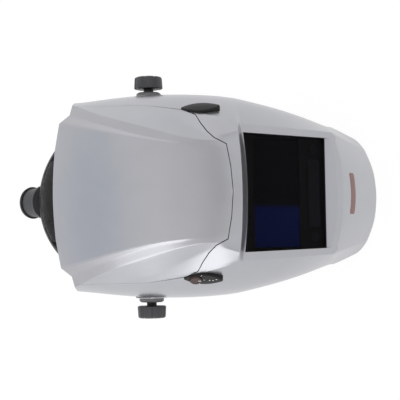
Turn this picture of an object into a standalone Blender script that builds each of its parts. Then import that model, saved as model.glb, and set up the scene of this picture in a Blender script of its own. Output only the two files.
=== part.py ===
"""Auto-darkening welding helmet: a two-piece moulded shell, a dark filter window and a ratchet headband."""
import math

import bmesh
import bpy
from mathutils import Matrix, Vector

for old in list(bpy.data.objects):
    bpy.data.objects.remove(old, do_unlink=True)

MM = 0.001

# Driving sizes, millimetres and degrees. The origin is the middle of the pivot axis; the face looks along -Y.
SHELL_TILT = 43.0
SHELL_HALF_WIDTH = 97.0
SHELL_WALL = 2.6
CROWN_RADIUS = 122.0
PANEL_STEP = 6.0
SEAM_GAP = 0.6
LENS_TILT = 30.0
LENS_ALONG = 127.5
LENS_OUT = 45.0
CASSETTE_WIDTH = 108.0
CASSETTE_HEIGHT = 90.0
LENS_WIDTH = CASSETTE_WIDTH + 4.0
LENS_HEIGHT = CASSETTE_HEIGHT + 6.8
LENS_RISE = 4.6
SILL_DRAFT = 8.8
LENS_THICK = 2.0
LENS_LAP = 2.3
FRAME_RISE = 10.5
FRAME_SAG = 6.0
BROW_DROP = 16.0
FRAME_BORDER = 8.0
FLANGE_WALL = 2.6
GASKET_THICK = 1.0
CASSETTE_DEPTH = 11.5
CASSETTE_LOW_DEPTH = 19.5
VIEW_WIDTH = CASSETTE_WIDTH - 8.0
VIEW_HEIGHT = CASSETTE_HEIGHT - 40.0
VIEW_RISE = 10.0
GLASS_THICK = 8.0
SOLAR_WIDTH = CASSETTE_WIDTH - 46.0
SENSOR_OUT = CASSETTE_WIDTH / 2 - 13.0
CAP_OUT = CASSETTE_WIDTH / 2 - 12.5
CONTROL_OUT = CASSETTE_WIDTH / 6
RETAINER_WALL = 2.0
POD_LENGTH = 38.0
POD_HEIGHT = 17.0
POD_DEEP = 6.0
POD_PROUD = 1.0
DIAL_RADIUS = 5.6
POT_DEEP = 3.0
PIVOT_BORE = 5.9
BOSS_RADIUS = 15.0
BOSS_DEEP = 7.6
WASHER_RADIUS = 11.7
WASHER_THICK = 3.6
BOLT_RADIUS = 3.2
KNOB_RADIUS = 13.6
KNOB_HEIGHT = 11.6
STEM_RADIUS = 4.7
STEM_LENGTH = 3.2
FRICTION_THICK = 1.6
ARM_THICK = 2.8
ARM_RADIUS = 13.5
BAND_REAR = 132.0
BAND_FRONT = 82.0
HEAD_ROOM = 19.0
BAND_HALF_WIDTH = SHELL_HALF_WIDTH - HEAD_ROOM
BAND_HEIGHT = 25.0
BAND_RISE = 17.5
BAND_THICK = 2.2
STRAP_THICK = 1.8
PAD_THICK = 6.5
CROWN_STRAP_TOP = 97.0
CROWN_STRAP_WIDTH = 16.0
CROWN_STRAP_ALONG = -16.0
DRUM_RADIUS = 14.6
DRUM_LENGTH = 18.5
RATCHET_RADIUS = 16.4
RATCHET_LENGTH = 9.0
GAP = 0.3
PRESS = 1.2

OBJECT = bpy.data.collections.new("welding_helmet")
GUIDES = bpy.data.collections.new("guides")
bpy.context.scene.collection.children.link(OBJECT)
bpy.context.scene.collection.children.link(GUIDES)


def material(name, colour, metallic, roughness):
    made = bpy.data.materials.new(name)
    made.use_nodes = True
    shader = made.node_tree.nodes["Principled BSDF"]
    shader.inputs["Base Color"].default_value = (*colour, 1.0)
    shader.inputs["Metallic"].default_value = metallic
    shader.inputs["Roughness"].default_value = roughness
    return made


def put(name, bm, place, look):
    """A mesh drawn in millimetres becomes an object in metres, standing where place says."""
    bm.transform(Matrix.Scale(MM, 4))
    bmesh.ops.recalc_face_normals(bm, faces=bm.faces)
    mesh = bpy.data.meshes.new(name)
    bm.to_mesh(mesh)
    bm.free()
    made = bpy.data.objects.new(name, mesh)
    place = place.copy()
    place.translation = place.translation * MM
    made.matrix_world = place
    if look is None:
        GUIDES.objects.link(made)
        made.hide_render = True
        made.display_type = "WIRE"
    else:
        OBJECT.objects.link(made)
        made.data.materials.append(material(name, *look))
    return made


def boolean(target, cutter, operation):
    step = target.modifiers.new(cutter.name, "BOOLEAN")
    step.operation = operation
    step.solver = "EXACT"
    step.object = cutter


def bevel(target, width, segments=2, angle=40.0):
    step = target.modifiers.new("edges", "BEVEL")
    step.width = width * MM
    step.segments = segments
    step.limit_method = "ANGLE"
    step.angle_limit = math.radians(angle)
    step.use_clamp_overlap = True


def solidify(target, thick, offset):
    step = target.modifiers.new("wall", "SOLIDIFY")
    step.thickness = thick * MM
    step.offset = offset
    step.use_even_offset = True


def baked(source, name):
    """A guide with the finished form of source, ready to be cut in more than one way."""
    bpy.context.view_layer.update()
    shape = source.evaluated_get(bpy.context.evaluated_depsgraph_get())
    mesh = bpy.data.meshes.new_from_object(shape)
    made = bpy.data.objects.new(name, mesh)
    made.matrix_world = source.matrix_world
    GUIDES.objects.link(made)
    made.hide_render = True
    made.display_type = "WIRE"
    return made


def box(name, size, centre, place, look):
    bm = bmesh.new()
    bmesh.ops.create_cube(bm, size=1.0)
    bmesh.ops.scale(bm, vec=size, verts=bm.verts)
    bmesh.ops.translate(bm, vec=centre, verts=bm.verts)
    return put(name, bm, place, look)


def turned(name, profile, place, look, steps=28):
    """A profile of (radius, height) points turned about the local z axis."""
    bm = bmesh.new()
    ring = [bm.verts.new((r, 0.0, h)) for r, h in profile]
    closed = profile[0][0] > 0.0
    edges = [bm.edges.new(pair) for pair in zip(ring, ring[1:])]
    if closed:
        edges.append(bm.edges.new((ring[-1], ring[0])))
    bmesh.ops.spin(
        bm, geom=ring + edges, cent=(0, 0, 0), axis=(0, 0, 1), angle=math.tau, steps=steps, use_merge=True
    )
    bmesh.ops.remove_doubles(bm, verts=bm.verts, dist=1e-4)
    return put(name, bm, place, look)


def rod(radius, low, high):
    """The profile of a plain cylinder."""
    return [(0, low), (radius, low), (radius, high), (0, high)]


def prism(name, outline, low, high, place, look):
    """A flat outline of (x, y) points, standing from low to high along the local z axis."""
    bm = bmesh.new()
    face = bm.faces.new([bm.verts.new((x, y, low)) for x, y in outline])
    raised = bmesh.ops.extrude_face_region(bm, geom=[face])
    tops = [v for v in raised["geom"] if isinstance(v, bmesh.types.BMVert)]
    bmesh.ops.translate(bm, vec=(0, 0, high - low), verts=tops)
    return put(name, bm, place, look)


def rounded(width, height, radius, rise=0.0, steps=5):
    """The outline of a rectangle with round corners, rise being its middle's height."""
    points = []
    for corner, (sx, sy) in enumerate(((1, 1), (-1, 1), (-1, -1), (1, -1))):
        for k in range(steps + 1):
            turn = math.radians(90.0 * (corner + k / steps))
            points.append(
                (
                    sx * (width / 2 - radius) + radius * math.cos(turn),
                    rise + sy * (height / 2 - radius) + radius * math.sin(turn),
                )
            )
    return points


def along(points, at):
    """The smooth curve through (place, value) points, read at one place."""
    if at <= points[0][0]:
        return points[0][1]
    if at >= points[-1][0]:
        return points[-1][1]
    last = len(points) - 1
    i = max(k for k in range(last) if points[k][0] <= at)
    (x0, y0), (x1, y1) = points[i], points[i + 1]
    span = x1 - x0
    slope = (y1 - y0) / span
    before = (y1 - points[i - 1][1]) / (x1 - points[i - 1][0]) if i > 0 else slope
    after = (points[i + 2][1] - y0) / (points[i + 2][0] - x0) if i + 1 < last else slope
    s = (at - x0) / span
    return (
        y0 * (1 + 2 * s) * (1 - s) ** 2
        + y1 * s * s * (3 - 2 * s)
        + span * (before * s * (1 - s) ** 2 - after * s * s * (1 - s))
    )


SHELL = Matrix.Rotation(math.radians(SHELL_TILT), 4, "X")
LENS = (
    SHELL
    @ Matrix.Translation((0, -LENS_ALONG, LENS_OUT))
    @ Matrix.Rotation(math.radians(LENS_TILT), 4, "X")
)
WORLD = Matrix.Identity(4)
SIDE = {
    "left": Matrix.Rotation(math.radians(90), 4, "Y"),
    "right": Matrix.Rotation(math.radians(-90), 4, "Y"),
}
SIGN = {"left": 1.0, "right": -1.0}

# The shell lies on its back here: x across, l from crown to chin, d out of the face. Each feature line is a curve
# along the midline place t.
MIDLINE = [(-104, 50), (-86, 72), (-60, 96), (-30, 111), (0, 116.5), (30, 115), (60, 107.5), (84, 97)]
PANEL_EDGE = [(-104, 71), (-80, 65.3), (-55, 59), (-23, 50.7), (13, 43), (44, 40), (84, 33)]
PANEL_FOOT = [(-104, 80), (-70, 73), (-52, 65.5), (-26, 56), (-7, 50), (14, 45.5), (44, 42), (84, 39)]
FIN = [(-104, 88), (-68, 84), (-58, 77.5), (-50, 73.5), (-33, 67), (-10, 60), (14, 52.5), (47, 45), (84, 46)]
BROW_FOLD = [
    (-104, 90), (-68, 85.5), (-50, 80), (-20, 77), (0, 74.5), (20, 66), (47, 53.5), (62, 48.5), (84, 54),
]
FOLD_OUT = [(-104, 8), (-68, 42), (-50, 54), (-20, 64), (0, 69), (20, 79), (47, 92), (62, 95.5), (84, 85)]
SHOULDER = [
    (-104, 91.5), (-68, 87), (-50, 83.5), (-20, 81.5), (0, 80), (20, 76.5), (33, 74), (49, 71), (70, 66),
]
SHOULDER_OUT = [
    (-104, 0), (-68, 34), (-50, 48), (-20, 58), (0, 63), (20, 68), (33, 71.5), (49, 76), (70, 81), (84, 81),
]
WIDEST = [
    (-104, 84), (-68, 88.5), (-50, 91), (-18, 95), (15, 97), (47, 97), (80, 94.5), (105, 89.5),
    (128, 84), (150, 77.5), (165, 72), (180, 67), (199, 59.5), (212, 53), (228, 43), (246, 30),
]
WIDEST_OUT = [
    (-104, -14), (-68, 20), (-50, 32), (0, 38), (47, 36), (80, 30), (105, 18), (128, 5), (150, -10),
    (165, -22), (180, -35), (199, -52), (212, -62), (228, -80), (246, -104),
]
CHIN = [(182, 25), (193, 8), (208, -21), (226, -57), (246, -96)]
CHIN_HALF = [(182, 57.5), (193, 52.5), (208, 46), (226, 37.5), (246, 27)]
SWEEP = [(-104, 0), (30, 0), (84, 10), (89.5, 16), (176, 27), (182, 31), (246, 45)]
SHARES = (0.0, 0.46, 0.61, 0.74, 0.87, 1.0)
BROW_AT = 84.0
LIP_AT = 89.5
SILL_AT = 176.0
FRAME_END = 182.0
ROWS = (
    -104, -86, -68, -50, -30, -8, 14, 34, 52, 66, 76, BROW_AT, LIP_AT,
    112, 134, 156, SILL_AT, FRAME_END, 193, 208, 226, 246,
)
WIDE = SHELL_HALF_WIDTH / 97.0
OPEN_TOP = LENS_HEIGHT / 2 - LENS_LAP
OPEN_HALF = LENS_WIDTH / 2 - LENS_LAP
FRAME_HALF = OPEN_HALF + FRAME_BORDER


def frame_out(x, l):
    """How far out the window frame stands: a plane along the lens, falling away to each side."""
    tilt = math.radians(LENS_TILT)
    rise = FRAME_RISE - FRAME_SAG * (x / OPEN_HALF) ** 2
    return LENS_OUT - (l - LENS_ALONG) * math.tan(tilt) + rise / math.cos(tilt)


def section(t):
    """Half of one shell section, from the midline to below the rim, as (x, l, d) points."""
    sweep = along(SWEEP, t) / 1e4
    points = []
    if t <= BROW_AT:
        middle = along(MIDLINE, t)
        fade = max(0.0, 44.0 - t) / 130.0
        xs = [along(line, t) * WIDE for line in (PANEL_EDGE, PANEL_FOOT, FIN, BROW_FOLD)]
        xs = [0.0] + xs + [along(SHOULDER + [(BROW_AT, FRAME_HALF / WIDE)], t) * WIDE]
        arc = [middle - x * x / (2 * CROWN_RADIUS) for x in xs]
        ds = [arc[0], arc[1], arc[2] - PANEL_STEP * fade, arc[3] - 1.4 * PANEL_STEP * fade]
        ds += [along(FOLD_OUT, t), along(SHOULDER_OUT, t)]
        if t == BROW_AT:
            ds = [middle - BROW_DROP * (x / FRAME_HALF) ** 2 for x in xs]
        points = [(x, t - sweep * x * x, d) for x, d in zip(xs, ds)]
    elif t <= FRAME_END:
        half = FRAME_HALF - 4.8 * (t - LIP_AT) / (FRAME_END - LIP_AT)
        for share in SHARES:
            x = share * half
            l = t - sweep * x * x
            points.append((x, l, frame_out(x, l)))
    else:
        half = along(CHIN_HALF, t)
        for share in SHARES:
            x = share * half
            points.append((x, t - sweep * x * x, along(CHIN, t) - 6.0 * share * share))
    l = points[-1][1]
    x, d = along(WIDEST, l) * WIDE, along(WIDEST_OUT, l)
    low = min(-76.0, d - 24.0)
    points += [(x, l, d), (x - 2.5, l, 0.55 * d + 0.45 * low), (x - 5.5, l, low)]
    return points


def skin():
    columns = len(section(0.0))
    bm = bmesh.new()
    bmesh.ops.create_grid(bm, x_segments=2 * columns - 2, y_segments=len(ROWS) - 1, size=1.0)
    bm.verts.ensure_lookup_table()
    across = 2 * columns - 1
    sections = [section(t) for t in ROWS]
    for k, v in enumerate(bm.verts):
        row, column = divmod(k, across)
        step = column - (columns - 1)
        x, l, d = sections[row][abs(step)]
        v.co = (math.copysign(x, step), -l, d)
    crease = bm.edges.layers.float.new("crease_edge")
    for e in bm.edges:
        spots = [divmod(v.index, across) for v in e.verts]
        rows = [ROWS[s[0]] for s in spots]
        lines = [abs(s[1] - (columns - 1)) for s in spots]
        if lines[0] == lines[1]:
            here = sum(rows) / 2
            if lines[0] in (1, 2) and here < 20:
                e[crease] = 0.8
            elif lines[0] == 3 and here < 60:
                e[crease] = 0.5
            elif lines[0] == 4 and -10 < here < 76:
                e[crease] = 0.6
            elif lines[0] == 5:
                e[crease] = 0.7 if here < FRAME_END else 0.85
            elif lines[0] == 6 and here > FRAME_END:
                e[crease] = 0.4
        elif max(lines) <= 5 and rows[0] in (BROW_AT, LIP_AT, FRAME_END):
            e[crease] = 0.9 if rows[0] != FRAME_END else 0.6
    made = put("shell_skin", bm, SHELL, None)
    step = made.modifiers.new("smooth", "SUBSURF")
    step.levels = step.render_levels = 1
    solidify(made, SHELL_WALL, -1.0)
    return made


SILVER = ((0.46, 0.47, 0.49), 0.8, 0.3)
BLACK = ((0.02, 0.02, 0.022), 0.0, 0.45)
GREY = ((0.06, 0.06, 0.065), 0.0, 0.5)
STEEL = ((0.5, 0.5, 0.5), 1.0, 0.35)
GLASS = ((0.01, 0.012, 0.03), 0.0, 0.05)
FOAM = ((0.05, 0.045, 0.04), 0.0, 0.9)
SOLAR = ((0.02, 0.015, 0.06), 0.0, 0.2)

# Shell: trimmed to its rim, parted along the seam, then opened for window, pods and pivots.
body = skin()
RIM = [
    (-120, 140), (-90, 74), (-68, 34), (-58, 16), (-45, 0), (-25, -22), (0, -40), (30, -53), (60, -56),
    (250, -56), (250, 140),
]
flip = Matrix.Rotation(math.radians(90), 4, "Y") @ Matrix.Rotation(math.radians(90), 4, "Z")
keep = prism("rim_keep", [(-l, d) for l, d in RIM], -130, 130, SHELL @ flip, None)
boolean(body, keep, "INTERSECT")
REAR = [(-86, 0), (-84.5, 35), (-79.5, 65.3), (-70, 73), (-67, 88), (-66, 120)]
half = [(x * WIDE, -l) for l, x in REAR]
rear = [(120, 160), (-120, 160)] + [(-x, y) for x, y in half[:0:-1]] + half
cut = prism("rear_cut", rear, 25, 150, SHELL, None)
boolean(body, cut, "DIFFERENCE")
trimmed = baked(body, "shell_trimmed")

SEAM = [
    (75.6, 0), (74, 22), (70.5, 42), (60, 47.5), (54, 53.5), (48.5, 61.5), (44, 70), (33, 75),
    (0, 79.5), (-104, 81.5),
]


def seam(inset):
    half = [(max(0.0, x * WIDE - inset * (x > 0)), -l + inset * (l > -90)) for l, x in SEAM]
    half[-1] = (half[-1][0], 110.0)
    return half[::-1] + [(-x, y) for x, y in half[1:]]


crown = prism("crown_shell", seam(SEAM_GAP), 20, 150, SHELL, SILVER)
boolean(crown, trimmed, "INTERSECT")
face = baked(trimmed, "face_shell")
GUIDES.objects.unlink(face)
OBJECT.objects.link(face)
face.hide_render = False
face.display_type = "TEXTURED"
face.data.materials.clear()
face.data.materials.append(material("face_shell", *SILVER))
boolean(face, prism("seam_cut", seam(0.0), 20, 150, SHELL, None), "DIFFERENCE")

MIDDLE = LENS_RISE
SEAT = GASKET_THICK + 2 * GAP


def opening(grow, sill=0.0):
    """The window's outline in the lens plane, a little narrower at its sill."""
    half, top = OPEN_HALF + grow, OPEN_TOP + grow
    low = MIDDLE - top - sill
    return [(half, MIDDLE + top), (-half, MIDDLE + top), (-half + 2.5, low), (half - 2.5, low)]


well = bmesh.new()
loops = []
for grow, high in ((-1.0, False), (FLANGE_WALL, False), (FLANGE_WALL, True), (-1.0, True)):
    loop = []
    corners = opening(grow, SILL_DRAFT if grow > 0 else 0.0)
    for (x0, y0), (x1, y1) in zip(corners, corners[1:] + corners[:1]):
        for k in range(10):
            x, y = x0 + (x1 - x0) * k / 10, y0 + (y1 - y0) * k / 10
            top = FRAME_RISE - FRAME_SAG * (x / OPEN_HALF) ** 2 - 1.2
            loop.append(well.verts.new((x, y, top if high else SEAT)))
    loops.append([well.edges.new(pair) for pair in zip(loop, loop[1:] + loop[:1])])
for first, second in zip(loops, loops[1:] + loops[:1]):
    bmesh.ops.bridge_loops(well, edges=first + second)
flange = put("window_flange", well, LENS, None)
boolean(face, flange, "UNION")
boolean(face, prism("window_cut", opening(0.0), -30, 40, LENS, None), "DIFFERENCE")
sill = MIDDLE - OPEN_TOP
drop = SILL_DRAFT / (FRAME_RISE - SEAT)
slope = [(sill + 3, SEAT + 0.5), (sill, SEAT + 0.5), (sill - drop * (29.5 - SEAT), 30), (sill + 3, 30)]
boolean(face, prism("sill_cut", slope, 2.5 - OPEN_HALF, OPEN_HALF - 2.5, LENS @ flip, None), "DIFFERENCE")

WALL_AT = SHELL_HALF_WIDTH - 1.2
POD = {}
for side, s in SIGN.items():
    boss = turned("boss_" + side, rod(BOSS_RADIUS, WALL_AT - BOSS_DEEP, WALL_AT), SIDE[side], None, 36)
    boolean(face, boss, "UNION")
    bore = turned("bore_" + side, rod(PIVOT_BORE, 60, 120), SIDE[side], None)
    boolean(face, bore, "DIFFERENCE")
    POD[side] = (
        SHELL
        @ Matrix.Translation((s * 77.0 * WIDE, -48.5, 70.0))
        @ Matrix.Rotation(math.radians(s * 55), 4, "Y")
        @ Matrix.Rotation(math.radians(s * 6), 4, "Z")
    )


def eye(grow):
    """The outline of a control pod: two arcs meeting at blunt tips, long along the shell."""
    high, long = POD_HEIGHT / 2 + grow, POD_LENGTH / 2 + grow
    right = [(high * (1 - (k / 8) ** 2), long * k / 8) for k in range(-7, 8)]
    return right + [(-x, -y) for x, y in right]


for side in SIGN:
    hole = prism("pod_hole_" + side, eye(GAP), -16, 12, POD[side], None)
    boolean(face, hole, "DIFFERENCE")
    boolean(crown, hole, "DIFFERENCE")
    pod = prism("control_pod_" + side, eye(0.0), -POD_DEEP, POD_PROUD, POD[side], BLACK)
    bevel(pod, 0.9, 2, 60)
    if side == "right":
        spot = POD[side] @ Matrix.Translation((0, 7.0, 0))
        socket = turned("dial_socket", rod(DIAL_RADIUS + GAP, -3, 9), spot, None)
        boolean(pod, socket, "DIFFERENCE")
        dial = turned(
            "shade_dial",
            [(0, -3 + GAP), (DIAL_RADIUS, -3 + GAP), (DIAL_RADIUS, 2.2), (DIAL_RADIUS - 0.6, 2.8), (0, 2.8)],
            spot, ((0.12, 0.04, 0.02), 0.0, 0.4), 32,
        )
        pot_low = -POD_DEEP - GAP
        turned("shade_pot", rod(6, pot_low, pot_low - POT_DEEP), spot, GREY, 20)

# Window: gasket, cover lens, filter cassette with its glass, cells and controls, held by a retaining frame.
ring_gasket = prism("lens_gasket", opening(LENS_LAP - 3 * GAP), GAP, GAP + GASKET_THICK, LENS, BLACK)
boolean(ring_gasket, prism("gasket_cut", opening(0.0), -5, 5, LENS, None), "DIFFERENCE")
prism("cover_lens", opening(LENS_LAP - 3 * GAP), -LENS_THICK, 0, LENS, GLASS)
FRONT = -LENS_THICK - GAP
BACK = FRONT - CASSETTE_DEPTH
LOW_BACK = FRONT - CASSETTE_LOW_DEPTH
LOW_TOP = VIEW_RISE - VIEW_HEIGHT / 2 - 3.0
LOW_HIGH = LOW_TOP + CASSETTE_HEIGHT / 2
CONTROL_Y = LOW_TOP - LOW_HIGH / 2
cassette = prism("filter_cassette", rounded(CASSETTE_WIDTH, CASSETTE_HEIGHT, 3), BACK, FRONT, LENS, BLACK)
low_half = rounded(CASSETTE_WIDTH - 1, LOW_HIGH - 1, 3, CONTROL_Y)
block = prism("cassette_block", low_half, LOW_BACK, FRONT - 1, LENS, None)
boolean(cassette, block, "UNION")
view = box("view_cut", (VIEW_WIDTH, VIEW_HEIGHT, 60), (0, VIEW_RISE, 0), LENS, None)
boolean(cassette, view, "DIFFERENCE")
box(
    "filter_glass", (VIEW_WIDTH - 2 * GAP, VIEW_HEIGHT - 2 * GAP, GLASS_THICK),
    (0, VIEW_RISE, FRONT - 1 - GLASS_THICK / 2), LENS, GLASS,
)
prism(
    "inner_cover_lens", rounded(VIEW_WIDTH + 5, VIEW_HEIGHT + 4, 3, VIEW_RISE),
    BACK - GAP - 1.2, BACK - GAP, LENS, GLASS,
)
pocket = box("solar_pocket", (SOLAR_WIDTH + 2 * GAP, 12 + 2 * GAP, 2), (0, CONTROL_Y, FRONT), LENS, None)
boolean(cassette, pocket, "DIFFERENCE")
box("solar_panel", (SOLAR_WIDTH, 12, 0.7), (0, CONTROL_Y, FRONT - 0.35), LENS, SOLAR)


def controls(name, x, radius, deep, stands, look, steps=28, rest=GAP):
    """A round control in a pocket of the cassette's lower back face."""
    spot = LENS @ Matrix.Translation((x, CONTROL_Y, LOW_BACK)) @ Matrix.Rotation(math.pi, 4, "X")
    pocket = turned(
        name + "_pocket", rod(radius + GAP, -deep, 9), spot, None, steps
    )
    boolean(cassette, pocket, "DIFFERENCE")
    floor = -deep + rest
    edge = [(0, floor), (radius, floor), (radius, stands - 0.5), (radius - 0.5, stands), (0, stands)]
    return turned(name, edge, spot, look, steps), spot


for side, s in SIGN.items():
    spot = LENS @ Matrix.Translation((s * SENSOR_OUT, CONTROL_Y, FRONT))
    pocket = turned("sensor_pocket_" + side, rod(4.3, -2, 2), spot, None, 24)
    boolean(cassette, pocket, "DIFFERENCE")
    turned("arc_sensor_" + side, rod(4, -1.7, 0.1), spot, GLASS, 24)
    cap, spot = controls("battery_cap_" + side, s * CAP_OUT, 10.6, 3.2, 1.2, GREY, 36)
    slot = box("coin_slot_" + side, (13, 1.8, 2), (0, 0, 1.2), spot, None)
    boolean(cap, slot, "DIFFERENCE")
    cell_low = -3.2 - 3.6
    pocket = turned("cell_pocket_" + side, rod(10.3, cell_low, 1), spot, None, 36)
    boolean(cassette, pocket, "DIFFERENCE")
    turned("coin_cell_" + side, rod(10, cell_low + GAP, -3.2), spot, STEEL, 36)
for name, x in (("sensitivity_knob", -CONTROL_OUT), ("delay_knob", CONTROL_OUT)):
    knob, spot = controls(name, x, 6.6, 3.0, 4.6, GREY, 24)
    boolean(knob, box(name + "_mark", (1.4, 5, 1.2), (0, 4.2, 4.6), spot, None), "DIFFERENCE")
controls("mode_button", 0.0, 3.6, 4.4, 1.8, ((0.3, 0.05, 0.03), 0.0, 0.4), 24, PRESS + GAP)

RETAINER_HALF = CASSETTE_WIDTH / 2 + GAP + RETAINER_WALL
retainer = prism(
    "cassette_frame", rounded(2 * RETAINER_HALF, CASSETTE_HEIGHT + 2 * (GAP + RETAINER_WALL), 5),
    BACK - 3, FRONT, LENS, BLACK,
)
inside = rounded(CASSETTE_WIDTH + 2 * GAP, CASSETTE_HEIGHT + 2 * GAP, 3)
boolean(retainer, prism("retainer_cut", inside, -40, 9, LENS, None), "DIFFERENCE")
lead = bpy.data.curves.new("dial_lead", "CURVE")
lead.dimensions = "3D"
lead.bevel_depth = 1.1 * MM
lead.bevel_resolution = 1
lead.use_fill_caps = True
lead.resolution_u = 6
start = POD["right"] @ Vector((0, 7.0, pot_low - POT_DEEP - 1.2))
end = LENS @ Vector((-RETAINER_HALF - 1.2, 30.0, BACK + 3))
run = lead.splines.new("BEZIER")
run.bezier_points.add(1)
pulls = (POD["right"].to_3x3() @ Vector((2, -4, -8)), LENS.to_3x3() @ Vector((-7, 4, -3)))
for point, at, pull in zip(run.bezier_points, (start, end), pulls):
    point.co = at * MM
    point.handle_right = (at + pull) * MM
    point.handle_left = (at + pull * (1 if at is end else -1)) * MM
path = bpy.data.objects.new("lead_path", lead)
GUIDES.objects.link(path)
drawn = baked(path, "lead_drawn")
bm = bmesh.new()
bm.from_mesh(drawn.data)
bm.transform(Matrix.Scale(1 / MM, 4))
bmesh.ops.remove_doubles(bm, verts=bm.verts, dist=0.01)
put("dial_lead", bm, WORLD, BLACK)
for spent in (path, drawn):
    bpy.data.objects.remove(spent, do_unlink=True)

# Pivots: bush and washers on the shell, arm and bolt inside, clamping knob outside.
INNER = WALL_AT - BOSS_DEEP
ARM_OUT = INNER - 2 * GAP - FRICTION_THICK
ARM_IN = ARM_OUT - ARM_THICK
BAND_BACK = BAND_REAR - (BAND_REAR + BAND_FRONT) / 2
BAND_LONG = (BAND_REAR + BAND_FRONT) / 2
RIVETS = (6.0, 24.0)


def band_at(y, inset):
    """Half width of the headband at a place along Y, for a layer set in from the outside."""
    share = (y - BAND_BACK) / (BAND_LONG - inset)
    return (BAND_HALF_WIDTH - inset) * math.sqrt(max(0.0, 1 - share * share))


def pipe(name, outer, inner, low, high, place, look, steps=24):
    return turned(name, [(inner, low), (outer, low), (outer, high), (inner, high)], place, look, steps)


for side, s in SIGN.items():
    place = SIDE[side]
    hole = BOLT_RADIUS + GAP
    pipe("pivot_bush_" + side, PIVOT_BORE - GAP, hole, INNER + 0.1, WALL_AT - 0.1, place, BLACK)
    top = WALL_AT + GAP + WASHER_THICK
    turned(
        "outer_washer_" + side,
        [
            (hole, WALL_AT + GAP), (WASHER_RADIUS, WALL_AT + GAP), (WASHER_RADIUS, top - 1.2),
            (WASHER_RADIUS - 1.6, top), (hole, top),
        ],
        place, GREY,
    )
    face_in = ARM_OUT + GAP
    pipe("friction_washer_" + side, ARM_RADIUS - 1, hole, face_in, face_in + FRICTION_THICK, place, BLACK)
    stem = top + GAP
    low = stem + STEM_LENGTH
    high = low + KNOB_HEIGHT
    tip = high - 3.0
    knob = turned(
        "tension_knob_" + side,
        [
            (hole, stem), (STEM_RADIUS, stem), (STEM_RADIUS, low), (KNOB_RADIUS - 0.8, low),
            (KNOB_RADIUS, low + 1), (KNOB_RADIUS - 0.6, high - 1), (KNOB_RADIUS - 1.6, high), (0, high),
            (0, tip + GAP), (hole, tip + GAP),
        ],
        place, GREY, 36,
    )
    for k in range(7):
        turn = Matrix.Rotation(math.tau * k / 7, 4, "Z") @ Matrix.Translation((KNOB_RADIUS + 2.4, 0, 0))
        groove = turned("grip_%s_%d" % (side, k), rod(3.6, low - 1, high + 1), place @ turn, None, 16)
        boolean(knob, groove, "DIFFERENCE")
    head = ARM_IN - GAP
    turned(
        "pivot_bolt_" + side,
        [(0, head - 2.6), (7, head - 2.6), (7, head), (BOLT_RADIUS, head), (BOLT_RADIUS, tip), (0, tip)],
        place, STEEL, 20,
    )
    bm = bmesh.new()
    for y, z, r in ((0, 0, ARM_RADIUS), (RIVETS[0], BAND_RISE, 7), (RIVETS[1], BAND_RISE, 7)):
        for x in (s * ARM_IN, s * ARM_OUT):
            spot = Matrix.Translation((x, y, z)) @ SIDE["left"]
            bmesh.ops.create_circle(bm, cap_ends=False, segments=32, radius=r, matrix=spot)
    bmesh.ops.delete(bm, geom=bm.edges, context="EDGES_FACES")
    hull = bmesh.ops.convex_hull(bm, input=bm.verts)
    spare = {g for g in hull["geom_interior"] + hull["geom_unused"] if isinstance(g, bmesh.types.BMVert)}
    bmesh.ops.delete(bm, geom=list(spare), context="VERTS")
    arm = put("pivot_arm_" + side, bm, WORLD, GREY)
    arm_bore = turned("arm_bore_" + side, rod(hole, 60, 120), place, None, 24)
    boolean(arm, arm_bore, "DIFFERENCE")

# Headband: front band, two rear straps meeting in the ratchet, crown strap, pads.
def band(name, inset, thick, low, high, start, end, look, pieces, slope=0.0):
    """A strip of the headband's ellipse between two bearings from straight ahead."""
    bm = bmesh.new()
    bmesh.ops.create_grid(bm, x_segments=pieces, y_segments=1, size=1.0)
    bm.verts.ensure_lookup_table()
    for k, v in enumerate(bm.verts):
        row, column = divmod(k, pieces + 1)
        turn = math.radians(start + (end - start) * column / pieces)
        v.co = (
            (BAND_HALF_WIDTH - inset) * math.sin(turn),
            BAND_BACK - (BAND_LONG - inset) * math.cos(turn),
            high if row else low,
        )
    bmesh.ops.recalc_face_normals(bm, faces=bm.faces)
    made = put(name, bm, WORLD, look)
    solidify(made, thick, 0.0)
    return made


LOW = BAND_RISE - BAND_HEIGHT / 2
HIGH = BAND_RISE + BAND_HEIGHT / 2
FRONT_IN = STRAP_THICK + GAP + BAND_THICK / 2
front = band("front_band", FRONT_IN, BAND_THICK, LOW, HIGH, -126, 126, GREY, 44)
straps = {}
for side, s in SIGN.items():
    straps[side] = band(
        "rear_strap_" + side, STRAP_THICK / 2, STRAP_THICK, LOW + 4, HIGH - 4, s * 88.0, s * 175.5, GREY, 22
    )
    for k, y in enumerate(RIVETS):
        wall = band_at(y, STRAP_THICK + GAP + BAND_THICK)
        place = Matrix.Translation((0, y, BAND_RISE)) @ SIDE[side]
        hole = turned("rivet_hole_%s_%d" % (side, k), rod(2.5 + GAP, 40, 130), place, None, 20)
        for piece in (front, straps[side], bpy.data.objects["pivot_arm_" + side]):
            boolean(piece, hole, "DIFFERENCE")
        outside = BAND_HALF_WIDTH + GAP + 0.3
        turned(
            "arm_rivet_%s_%d" % (side, k + 1),
            [
                (0, wall - 2), (2.5, wall - 2), (2.5, outside), (4.4, outside), (4.4, ARM_IN - GAP),
                (2.5, ARM_IN - GAP), (2.5, ARM_OUT - 0.3), (0, ARM_OUT - 0.3),
            ],
            place, STEEL, 20,
        )


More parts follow.
